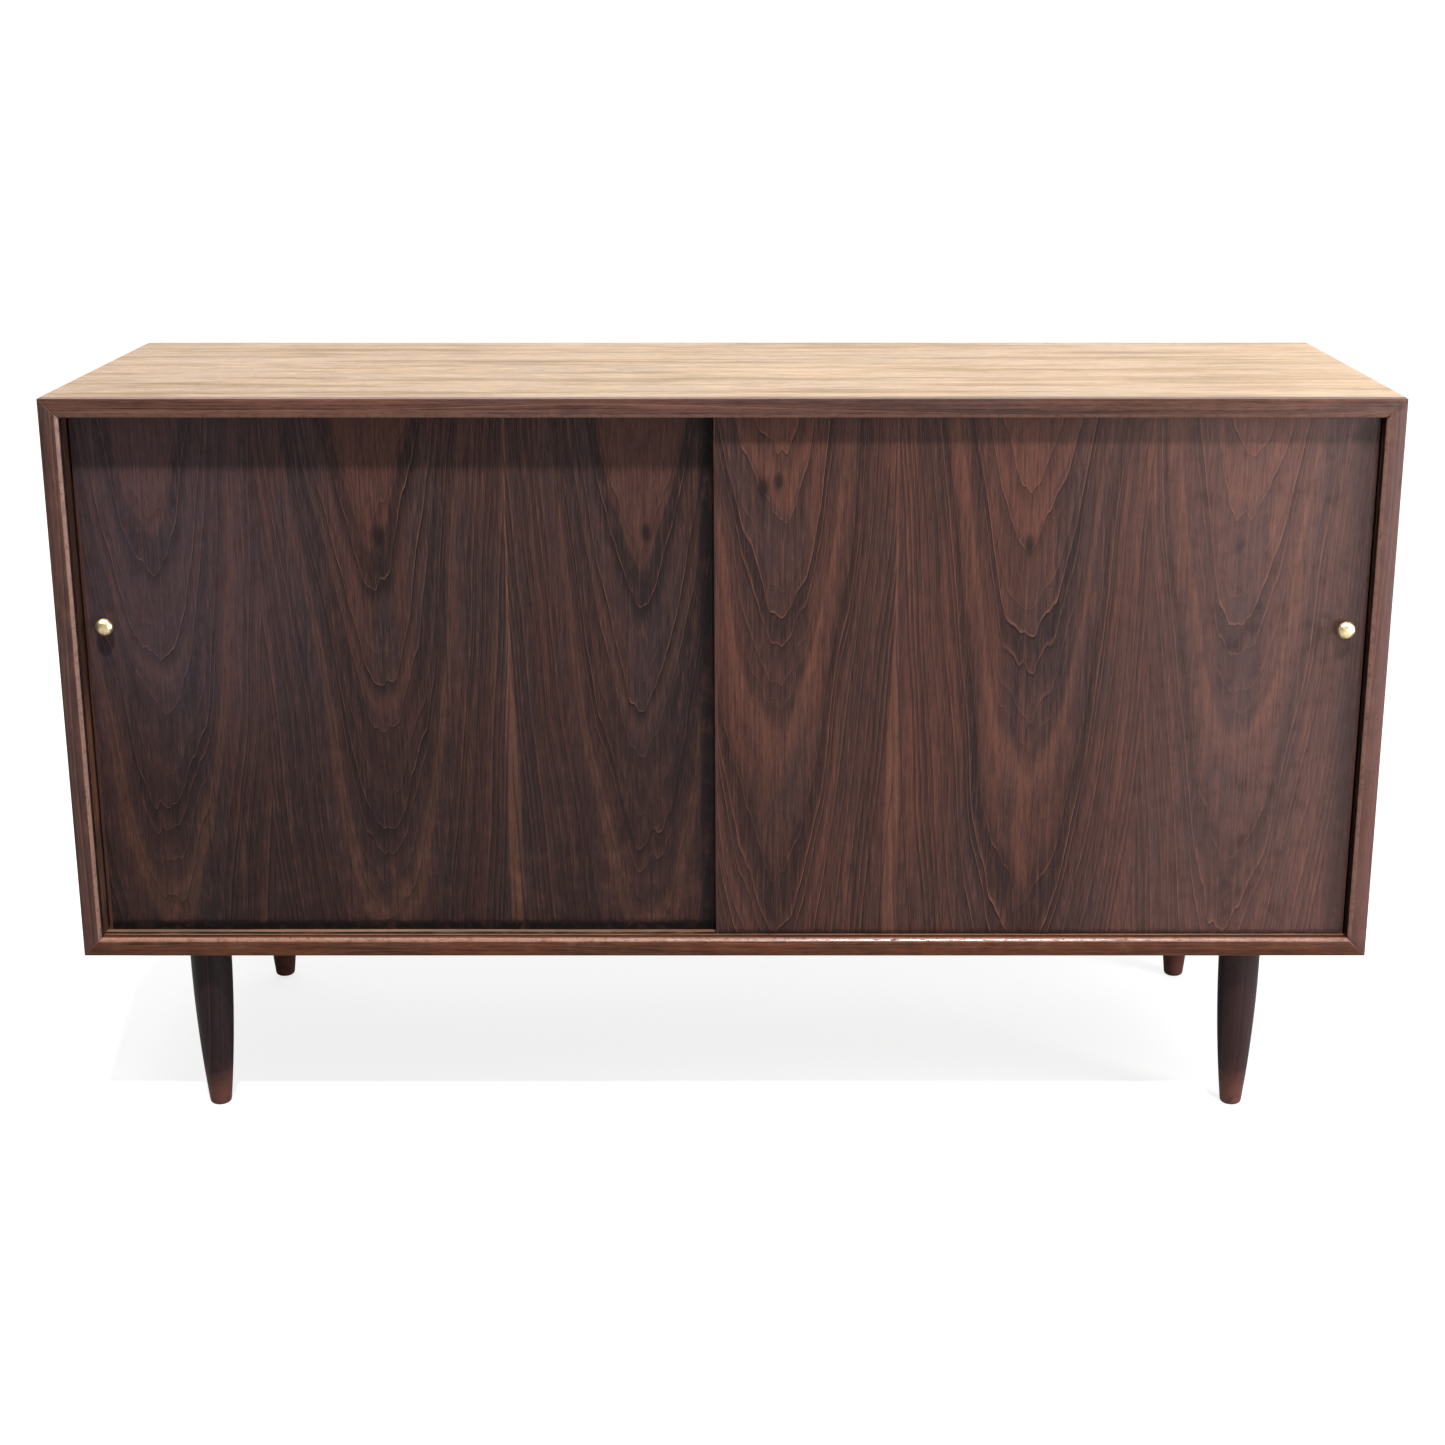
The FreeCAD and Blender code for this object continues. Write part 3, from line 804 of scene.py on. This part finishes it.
FINISHES: dict[str, Union[WoodFinish, MetalFinish]] = {
    "left_door": WoodFinish(
        "left_door_veneer", REAR_DOOR_TONES, Z, X,
        (Leaf(-0.600, -1.0, 0.015), Leaf(-0.363, -0.49, 0.0), Leaf(-0.083, -0.229, -0.02)),
        streaks=(Streak(-0.229),), knots=KNOTS_LEFT, streak_strength=0.34, seed=1.0,
        # Darker towards the bottom; painted cool haze at the upper left; a ragged darker strip along the
        # bottom edge; painted shadow of the front door along the right end.
        bands=(Band(Z, -1.0, 0.22, 0.5, DARK_TINT, 0.46),
               Band(X, -1.0, -0.56, 0.2, PAINTED_COOL_HAZE, 0.25, 0.1, 0.2, UPPER),
               Band(Z, -1.0, 0.221, 0.007, DARK_TINT, 1.0, 0.016, 0.012),
               Band(X, -0.022, 1.0, 0.007, DARK_TINT, 0.8))),
    "right_door": WoodFinish(
        "right_door_veneer", FRONT_DOOR_TONES, Z, X,
        (Leaf(0.050, -1.0, 0.03), Leaf(0.319, 0.182, -0.01), Leaf(0.545, 0.445, 0.02)),
        crown=Crown(heart_calm=0.3), streaks=(Streak(0.182, strength=0.6),), knots=KNOTS_RIGHT,
        streak_strength=0.36, seed=7.0,
        # Painted pale haze of light towards the right end; darker towards the bottom; a ragged darker strip
        # along the bottom edge; painted shade of the right edging along the right end.
        bands=(Band(X, 0.55, 1.0, 0.22, PAINTED_PALE_HAZE, 0.14),
               Band(Z, -1.0, 0.5, 0.2, DARK_TINT, 0.13),
               Band(Z, -1.0, 0.2155, 0.005, DARK_TINT, 0.8, 0.01, 0.012),
               Band(X, 0.665, 1.0, 0.02, FRONT_DOOR_TONES.grey, 0.6))),
    "top": WoodFinish(
        "top_veneer", TOP_TONES, X, Y, (Leaf(-0.02, -1.0),),
        crown=Crown(spacing=0.06, heart=2.0), knots=KNOTS_TOP, roughness=0.32, specular=0.74, sheen=0.95,
        streak_strength=1.3, fleck_strength=1.2, cloud_strength=1.0, dulling=0.38, seed=11.0,
        # Painted shade towards both ends of the top.
        bands=(Band(X, -1.0, -0.4, 0.3, PAINTED_TOP_SHADE, 0.25, 0.15, 0.12),
               Band(X, 0.45, 1.0, 0.4, PAINTED_TOP_SHADE, 0.35, 0.15, 0.12))),
    "ends": WoodFinish(
        "end_veneer", CARCASS_TONES, Z, Y, (Leaf(-0.1, -1.0), Leaf(0.12, 0.01, 0.1)),
        # Painted shade on the side boards' inner faces behind the front edging.
        bands=(Band(X, -0.6802, 0.6802, 0.0002, DARK_TINT, 0.7, 0.0, 0.15, FRONT_REVEAL),), seed=14.0),
    "bottom": WoodFinish("bottom_veneer", CARCASS_TONES, X, Y, seed=17.0),
    "inside": WoodFinish("inside_veneer", CARCASS_TONES, X, Y, seed=20.0),
    "divider": WoodFinish("divider_veneer", CARCASS_TONES, Z, Y, seed=21.0),
    "top_edging": WoodFinish(
        "top_edging", TOP_EDGING_TONES, X, Z, line_strength=0.4, streak_strength=0.7,
        # Painted highlight on the bevel and painted shade towards the right end.
        roughness=0.36, bands=(PAINTED_BEVEL_HIGHLIGHT, RIGHT_SHADE), seed=23.0),
    "bottom_edging": WoodFinish(
        "bottom_edging", BOTTOM_EDGING_TONES, X, Z, line_strength=0.4, streak_strength=0.75,
        # Painted highlight on the bevel and painted shade towards the right end.
        roughness=0.2, specular=0.17, bands=(PAINTED_BEVEL_HIGHLIGHT, RIGHT_SHADE), seed=24.0),
    "left_edging": WoodFinish(
        "left_edging", LEFT_EDGING_TONES, Z, X, line_strength=0.4, roughness=0.34, specular=0.25,
        # Painted highlight on the bevel and painted shade on the inner side.
        bands=(PAINTED_BEVEL_HIGHLIGHT, Band(X, -0.6801, 1.0, 0.0006, DARK_TINT, 0.8)), seed=25.0),
    "right_edging": WoodFinish(
        "right_edging", SIDE_EDGING_TONES, Z, X, line_strength=0.25, streak_strength=0.25,
        fleck_strength=0.25, roughness=0.36, seed=26.0,
        # Painted highlight on the bevel and painted shade on the inner side.
        bands=(PAINTED_BEVEL_HIGHLIGHT, Band(X, -1.0, 0.6801, 0.0006, DARK_TINT, 0.8))),
    "door_band": WoodFinish("door_edge_band", FRONT_DOOR_TONES, Z, X, spacing=0.004, seed=27.0),
    "back": WoodFinish(
        "back_ply", BACK_TONES, X, Z, (Leaf(0.45, -1.0),), crown=Crown(spacing=0.08, heart=2.0),
        seed=29.0, specular=0.2),
    "track": WoodFinish(
        "track_wood", TRACK_TONES, X, Y, specular=0.3, seed=31.0,
        # Painted shade in the track's front groove.
        bands=(Band(Y, -0.2125, -0.2095, 0.0008, DARK_TINT, 0.85),)),
    "leg": WoodFinish(
        "leg_wood", LEG_TONES, Z, X, spacing=0.006, specular=0.2, roughness=0.4,
        streak_strength=0.35, fleck_strength=0.3, seed=34.0,
        bands=(Band(Z, -1.0, 0.012, 0.045, tone(92, 54, 46), 0.75, 0.05, 0.012),)),
    "brass": MetalFinish("aged_brass", (0.98, 0.84, 0.5, 1.0), (0.62, 0.42, 0.18, 1.0), 0.3),
    "steel": MetalFinish("zinc_steel", (0.62, 0.60, 0.56, 1.0), (0.38, 0.36, 0.33, 1.0), 0.38),
}

FINISH_NODES = {
    "top": "top_board",
    "bottom": "bottom_board",
    "ends": "left_board right_board",
    "top_edging": "top_front_edging",
    "bottom_edging": "bottom_front_edging",
    "left_edging": "left_front_edging",
    "right_edging": "right_front_edging",
    "door_band": "left_door_edge_bands right_door_edge_bands",
    "left_door": "left_door_panel",
    "right_door": "right_door_panel",
    "divider": "partition",
    "inside": "left_shelf right_shelf corner_splines",
    "back": "back_panel",
    "track": "top_track bottom_track",
    "leg": "front_left_leg front_right_leg rear_left_leg rear_right_leg",
    "brass": "left_knob right_knob",
    "steel": "leg_plates leg_bolts leg_plate_screws back_panel_screws left_knob_screw right_knob_screw"
             " shelf_pins",
}


def dress(piece: Piece, material: Material) -> None:
    """Give a piece one material all over."""
    piece.data.materials.clear()
    piece.data.materials.append(material)


# Shapes
GOLDEN_ANGLE = math.pi * (3 - math.sqrt(5))
FLAT_DEPTHS = (0.4, 1.0)


def clear_selection() -> None:
    """Leave object mode with nothing selected."""
    if bpy.context.object and bpy.context.object.mode != "OBJECT":
        bpy.ops.object.mode_set(mode="OBJECT")
    bpy.ops.object.select_all(action="DESELECT")


def unit(axis: int, length: float = 1.0) -> Vector:
    """Vector along one axis."""
    vector = Vector()
    vector[axis] = length
    return vector


def pick_edges(piece: Piece, wanted: Callable[[Vector], bool]) -> None:
    """Select the edges of a piece in edit mode by their middle.

    Args:
        piece: Piece in edit mode.
        wanted: Says whether the edge with that middle is picked.
    """
    bpy.ops.mesh.select_mode(type="EDGE")
    mesh = bmesh.from_edit_mesh(piece.data)
    for edge in mesh.edges:
        middle = sum((vertex.co for vertex in edge.verts), Vector()) / len(edge.verts)
        edge.select_set(wanted(middle))
    mesh.select_flush_mode()
    bmesh.update_edit_mesh(piece.data)


def settle(piece: Piece, angle: float) -> Piece:
    """Apply a piece's place to its mesh and shade it smooth except at its edges.

    Args:
        piece: The piece.
        angle: Sharpest smooth edge, in degrees.

    Returns:
        The same piece.
    """
    clear_selection()
    piece.select_set(True)
    bpy.context.view_layer.objects.active = piece
    bpy.ops.object.transform_apply(location=True, rotation=True, scale=True)
    bpy.ops.object.shade_smooth_by_angle(angle=math.radians(angle))
    return piece


@dataclass
class FrontEdging:
    """Four mitred edging strips round the front, with a worn bevel on the inside.

    Attributes:
        chamfer: Width of the inner bevel.
        ease: Round of the other edges.
        ease_steps: Faces across that round.
        sharp: Angle from which an edge is eased or shows as an edge, in degrees.
        step: Length of one stretch between uneven places.
        uneven: How far hand wear has moved the bevel's edges.
        ripples: Pitch of the wear, in waves to the metre.
        nicks: Pitch of the small nicks.
        nick_start: Noise above which a nick starts.
        nick_depth: Depth of the nicks as a share of the wear.
    """

    chamfer: float = 3.5 * MM
    ease: float = 0.7 * MM
    ease_steps: int = 2
    sharp: float = 30.0
    step: float = 9 * MM
    uneven: float = 0.35 * MM
    ripples: float = 55.0
    nicks: float = 160.0
    nick_start: float = 0.35
    nick_depth: float = 1.5

    def build(self, materials: dict[str, Material]) -> None:
        """Make the four strips.

        Args:
            materials: Every finish by name.
        """
        for side in ("top", "bottom", "left", "right"):
            node = f"{side}_front_edging"
            strip = self.strip(side, node)
            dress(strip, materials[f"{side}_edging"])
            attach(strip, "case")
            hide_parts(node)
            LOG.info("%s made", strip.name)

    def strip(self, side: str, node: str) -> Piece:
        """One strip, mitred and bevelled.

        Args:
            side: Side of the case that it runs along.
            node: Name of the strip that it stands for.

        Returns:
            The strip.
        """
        low, high = (Vector(corner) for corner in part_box(node))
        along, across = (0, 2) if side in ("top", "bottom") else (2, 0)
        inward = -1.0 if side in ("top", "right") else 1.0
        outer, inner = (low[across], high[across]) if inward > 0 else (high[across], low[across])
        clear_selection()
        bpy.ops.mesh.primitive_cube_add(size=1, location=(low + high) / 2, scale=high - low)
        piece = bpy.context.object
        piece.name = f"{side}_edging_strip"
        bpy.ops.object.transform_apply(location=True, rotation=False, scale=True)
        bpy.ops.object.mode_set(mode="EDIT")
        pick_edges(piece, lambda point: abs(point.y - low.y) < NEAR and abs(point[across] - inner) < NEAR)
        bpy.ops.mesh.bevel(offset=self.chamfer, segments=1, affect="EDGES")
        for end, way in ((low[along], 1.0), (high[along], -1.0)):
            corner = unit(along, end) + unit(across, outer)
            normal = unit(along, way) + unit(across, -inward)
            bpy.ops.mesh.select_all(action="SELECT")
            bpy.ops.mesh.bisect(plane_co=corner, plane_no=normal, use_fill=True, clear_inner=True)
        bpy.ops.object.mode_set(mode="OBJECT")
        self.round_edges(piece)
        bpy.ops.object.mode_set(mode="EDIT")
        length = high[along] - low[along]
        count = int(length / self.step)
        for number in range(1, count):
            point = unit(along, low[along] + number * length / count)
            bpy.ops.mesh.select_all(action="SELECT")
            bpy.ops.mesh.bisect(plane_co=point, plane_no=unit(along))
        bpy.ops.object.mode_set(mode="OBJECT")
        for vertex in piece.data.vertices:
            self.wear(vertex.co, low.y, across, inner, inward)
        return settle(piece, self.sharp)

    def round_edges(self, piece: Piece) -> None:
        """Ease a strip's sharp edges with an applied bevel."""
        clear_selection()
        bpy.context.view_layer.objects.active = piece
        piece.select_set(True)
        modifier = piece.modifiers.new("ease", "BEVEL")
        modifier.width = self.ease
        modifier.segments = self.ease_steps
        modifier.limit_method = "ANGLE"
        modifier.angle_limit = math.radians(self.sharp)
        bpy.ops.object.modifier_apply(modifier=modifier.name)

    def wear(self, spot: Vector, front_face: float, across: int, inner: float, inward: float) -> None:
        """Move a point near the bevel a little, inwards only.

        Args:
            spot: The point, which is changed.
            front_face: Place of the strip's front on the Y axis.
            across: Axis from its outer to its inner edge.
            inner: Place of its inner edge on that axis.
            inward: Sign of the way to the inner edge.
        """
        near = 1 - min(1.0, abs(spot[across] - inner) / (2 * self.chamfer))
        front = 1 - min(1.0, (spot.y - front_face) / (2 * self.chamfer))
        if near <= 0 or front <= 0:
            return
        wave = Vector((spot.x, 0.0, spot.z)) * self.ripples + Vector((across, inner, 0.0))
        ripple = (1 + noise.noise(wave)) / 2
        nick = max(0.0, noise.noise(Vector((spot.x, 1.0, spot.z)) * self.nicks) - self.nick_start)
        shift = self.uneven * near * front * (ripple + self.nick_depth * nick)
        spot.y += shift
        spot[across] -= inward * shift / 2


@dataclass
class Knobs:
    """Two hammered brass knobs.

    Attributes:
        segments: Points round each knob.
        neck_radius: Radius at the end of the neck.
        neck_length: Length of the neck.
        neck_rings: Radius and height of each ring from the door to the neck.
        throat: How far the head's curve starts down the neck.
        widest: Height of the widest ring, as a share of the head.
        under_rings: Rings below the widest one.
        over_rings: Rings above it.
        facets: Number of hammered flats.
        depth: Depth of one flat.
        cover: How far down the head the flats reach, as a share of its radius.
        scatter: How far a flat strays from its even place, in radians.
        hammered_from: Height at which the flats start, as a share of the neck.
        turn: Angle between the two knobs, in degrees.
        sharp: Sharpest smooth edge, in degrees.
        seed: Places the flats.
    """

    segments: int = 72
    neck_radius: float = 5 * MM
    neck_length: float = 4 * MM
    neck_rings: tuple[tuple[float, float], ...] = (
        (5.5 * MM, 0.0), (5.5 * MM, 0.4 * MM), (5 * MM, 1.0 * MM), (5 * MM, 3.4 * MM))
    throat: float = 0.4 * MM
    widest: float = 0.38
    under_rings: int = 8
    over_rings: int = 22
    facets: int = 34
    depth: float = 0.32 * MM
    cover: float = 1.15
    scatter: float = 0.35
    hammered_from: float = 1.15
    turn: float = 140.0
    sharp: float = 28.0
    seed: int = 5

    def profile(self, radius: float, length: float) -> list[tuple[float, float]]:
        """Radius and height of each ring from the door to the tip.

        Args:
            radius: Radius of the head.
            length: Height of the whole knob.

        Returns:
            One pair for each ring.
        """
        neck, widest = self.neck_radius, self.neck_length + self.widest * (length - self.neck_length)
        rings = list(self.neck_rings)
        drop = widest - self.neck_length + self.throat
        for number in range(1, self.under_rings + 1):
            turn = number / self.under_rings * math.pi / 2
            rings.append((neck + (radius - neck) * math.sin(turn), widest - drop * math.cos(turn)))
        for number in range(1, self.over_rings):
            turn = number / self.over_rings * math.pi / 2
            rings.append((radius * math.cos(turn), widest + (length - widest) * math.sin(turn)))
        return rings

    def build(self, material: Material) -> None:
        """Make the left knob and its copy on the right door.

        Args:
            material: Brass.
        """
        low, high = (Vector(corner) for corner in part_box("left_knob"))
        first = self.knob(low, high)
        middle = (low + high) / 2
        for side in ("left", "right"):
            piece = first if side == "left" else self.copied(first, middle)
            piece.name = f"{side}_hammered_knob"
            dress(piece, material)
            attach(piece, f"{side}_door")
            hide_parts(f"{side}_knob")
            LOG.info("%s made", piece.name)

    def copied(self, first: Piece, middle: Vector) -> Piece:
        """Copy of the left knob at the right knob's place, turned so that its flats differ.

        Args:
            first: The left knob.
            middle: Middle of the left knob.

        Returns:
            The copy.
        """
        low, high = (Vector(corner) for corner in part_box("right_knob"))
        clear_selection()
        first.select_set(True)
        bpy.context.view_layer.objects.active = first
        bpy.ops.object.duplicate()
        piece = bpy.context.object
        turn = Matrix.Rotation(math.radians(self.turn), 4, "Y")
        piece.data.transform(Matrix.Translation((low + high) / 2) @ turn @ Matrix.Translation(-middle))
        return piece

    def knob(self, low: Vector, high: Vector) -> Piece:
        """The left knob.

        Args:
            low: Lowest corner of its place.
            high: Highest corner of its place.

        Returns:
            The knob.
        """
        radius, length = (high.x - low.x) / 2, high.y - low.y
        rings = self.profile(radius, length)
        clear_selection()
        bpy.ops.mesh.primitive_circle_add(vertices=self.segments, radius=rings[0][0], fill_type="NGON",
                                          location=(0, 0, 0))
        piece = bpy.context.object
        bpy.ops.object.mode_set(mode="EDIT")
        bpy.ops.mesh.select_all(action="SELECT")
        for (before, start), (after, end) in zip(rings, rings[1:]):
            bpy.ops.mesh.extrude_region_move(TRANSFORM_OT_translate={"value": (0, 0, end - start)})
            bpy.ops.transform.resize(value=(after / before, after / before, 1.0))
        bpy.ops.mesh.extrude_region_move(TRANSFORM_OT_translate={"value": (0, 0, length - rings[-1][1])})
        bpy.ops.mesh.merge(type="CENTER")
        bpy.ops.mesh.select_all(action="SELECT")
        bpy.ops.mesh.normals_make_consistent(inside=False)
        bpy.ops.object.mode_set(mode="OBJECT")
        self.hammer(piece, radius, length)
        piece.rotation_euler = (math.radians(90), 0, 0)
        piece.location = ((low.x + high.x) / 2, high.y, (low.z + high.z) / 2)
        return settle(piece, self.sharp)

    def hammer(self, piece: Piece, radius: float, length: float) -> None:
        """Press the flats into the head.

        Args:
            piece: The knob, standing on its neck.
            radius: Radius of the head.
            length: Height of the knob.
        """
        draw = np.random.default_rng(self.seed)
        middle = Vector((0.0, 0.0, length - radius))
        for number in range(self.facets):
            height = 1 - self.cover * (number + 0.5) / self.facets
            swing = number * GOLDEN_ANGLE + draw.uniform(-self.scatter, self.scatter)
            flat = math.sqrt(max(0.0, 1 - height * height))
            normal = Vector((flat * math.cos(swing), flat * math.sin(swing), height))
            start = self.neck_length * self.hammered_from
            head = [vertex for vertex in piece.data.vertices if vertex.co.z > start]
            reach = max((vertex.co - middle).dot(normal) for vertex in head)
            limit = reach - self.depth * draw.uniform(*FLAT_DEPTHS)
            for vertex in head:
                over = (vertex.co - middle).dot(normal) - limit
                if over > 0:
                    vertex.co -= normal * over


# Studio
@dataclass(frozen=True)
class Lamp:
    """Rectangular soft light that faces a target.

    Attributes:
        name: Name of the light.
        place: Where it stands.
        target: What it faces.
        size: Its width and height.
        power: Its power in watts.
    """

    name: str
    place: tuple[float, float, float]
    target: tuple[float, float, float]
    size: tuple[float, float]
    power: float

    def build(self) -> None:
        """Make the light."""
        data = bpy.data.lights.new(self.name, "AREA")
        data.shape = "RECTANGLE"
        data.size, data.size_y = self.size
        data.energy = self.power
        light = bpy.data.objects.new(self.name, data)
        bpy.context.collection.objects.link(light)
        light.location = self.place
        aim = Vector(self.target) - Vector(self.place)
        light.rotation_euler = aim.to_track_quat("-Z", "Y").to_euler()
        light.visible_camera = False


@dataclass
class Studio:
    """Floor, light and camera.

    Attributes:
        camera_place: Where the camera stands.
        tilt: How far it looks down, in degrees.
        lens: Focal length in millimetres.
        sensor: Width of its sensor in millimetres.
        shift: Sideways shift of the view.
        floor_half: Half the floor's side.
        floor_tone: Share of light that the floor sends back.
        floor_glow: Brightness that it has besides what falls on it.
        floor_roughness: Roughness of the floor.
        key_strength: Strength of the key light.
        key_angle: Its apparent width, in degrees, which softens its shadows.
        key_aim: Direction that it shines in.
        key_tint: Its colour.
        lamps: Fill from the right, low haze that the right end mirrors, and a strip over the front.
        sky_turn: Where the surroundings brighten, from 0 in front to 1 behind.
        sky_levels: Strength of the surroundings in front and behind.
    """

    camera_place: tuple[float, float, float] = (0.034, -2.5995, 1.155)
    tilt: float = 16.35
    lens: float = 57.96
    sensor: float = 36.0
    shift: float = -0.0230
    floor_half: float = 30.0
    floor_tone: float = 0.32
    floor_glow: float = 0.78
    floor_roughness: float = 0.9
    key_strength: float = 4.1
    key_angle: float = 3.5
    key_aim: tuple[float, float, float] = (-0.2, 1.0, -2.15)
    key_tint: tuple[float, float, float] = (1.0, 0.97, 0.94)
    lamps: tuple[Lamp, ...] = (
        Lamp("fill", (1.7, -0.75, 0.75), (0.65, -0.2, 0.5), (0.6, 1.2), 28.0),
        Lamp("haze", (1.6, -2.3, 0.4), (0.65, -0.2, 0.45), (0.8, 0.8), 22.0),
        Lamp("strip", (0.0, -0.76, 2.0), (0.0, -0.2, 0.5), (3.2, 0.14), 25.0),
    )
    sky_turn: tuple[float, float] = (0.1, 0.8)
    sky_levels: tuple[float, float] = (0.22, 1.4)

    def build(self) -> None:
        """Make the whole studio."""
        self.floor()
        self.key()
        for lamp in self.lamps:
            lamp.build()
        self.sky()
        self.camera()

    def floor(self) -> None:
        """Plain pale floor, which sends little light back up."""
        bpy.ops.mesh.primitive_plane_add(size=2 * self.floor_half, location=(0, 0, 0))
        floor = bpy.context.object
        floor.name = "studio_floor"
        graph = Graph("studio_floor")
        path = graph.tree.nodes.new("ShaderNodeLightPath")
        glow = graph.times(path.outputs["Is Camera Ray"], self.floor_glow)
        grey = (self.floor_tone, self.floor_tone, self.floor_tone, 1.0)
        graph.constants(Base_Color=grey, Roughness=self.floor_roughness, Specular_IOR_Level=0.0,
                        Emission_Color=WHITE, Emission_Strength=glow)
        dress(floor, graph.material)

    def key(self) -> None:
        """High key light from the front, a little to the right."""
        key = bpy.data.lights.new("key", "SUN")
        key.energy = self.key_strength
        key.angle = math.radians(self.key_angle)
        key.color = self.key_tint
        sun = bpy.data.objects.new("key", key)
        bpy.context.collection.objects.link(sun)
        sun.rotation_euler = Vector(self.key_aim).to_track_quat("-Z", "Y").to_euler()

    def sky(self) -> None:
        """White all round, dim in front and bright behind, and plain white to the camera."""
        world = bpy.data.worlds.new("studio")
        bpy.context.scene.world = world
        world.use_nodes = True
        nodes, links = world.node_tree.nodes, world.node_tree.links
        background = nodes["Background"]
        background.inputs["Color"].default_value = WHITE
        coordinates = nodes.new("ShaderNodeTexCoord")
        axes = nodes.new("ShaderNodeSeparateXYZ")
        links.new(coordinates.outputs["Generated"], axes.inputs[0])
        behind = nodes.new("ShaderNodeMapRange")
        behind.interpolation_type = "SMOOTHSTEP"
        for socket, value in zip(behind.inputs, (0.0, *self.sky_turn, *self.sky_levels)):
            socket.default_value = value
        links.new(axes.outputs[1], behind.inputs[0])
        path = nodes.new("ShaderNodeLightPath")
        strength = nodes.new("ShaderNodeMath")
        strength.operation = "MAXIMUM"
        links.new(path.outputs["Is Camera Ray"], strength.inputs[0])
        links.new(behind.outputs[0], strength.inputs[1])
        links.new(strength.outputs[0], background.inputs["Strength"])
        bpy.context.scene.view_settings.view_transform = "Standard"

    def camera(self) -> None:
        """Camera at eye height, looking slightly down."""
        data = bpy.data.cameras.new("camera")
        data.lens = self.lens
        data.sensor_width = self.sensor
        data.shift_x = self.shift
        camera = bpy.data.objects.new("camera", data)
        bpy.context.collection.objects.link(camera)
        camera.location = self.camera_place
        camera.rotation_euler = (math.radians(90 - self.tilt), 0, 0)
        bpy.context.scene.camera = camera


def main() -> None:
    """Build the sideboard's looks in order."""
    logging.basicConfig(level=logging.INFO, format="%(name)s: %(message)s")
    materials = {name: finish.material() for name, finish in FINISHES.items()}
    for finish, nodes in FINISH_NODES.items():
        for node in nodes.split():
            dress(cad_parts[node], materials[finish])
        LOG.info("%s on %s", finish, nodes)
    FrontEdging().build(materials)
    Knobs().build(materials["brass"])
    Studio().build()


if __name__ == "__main__":
    main()
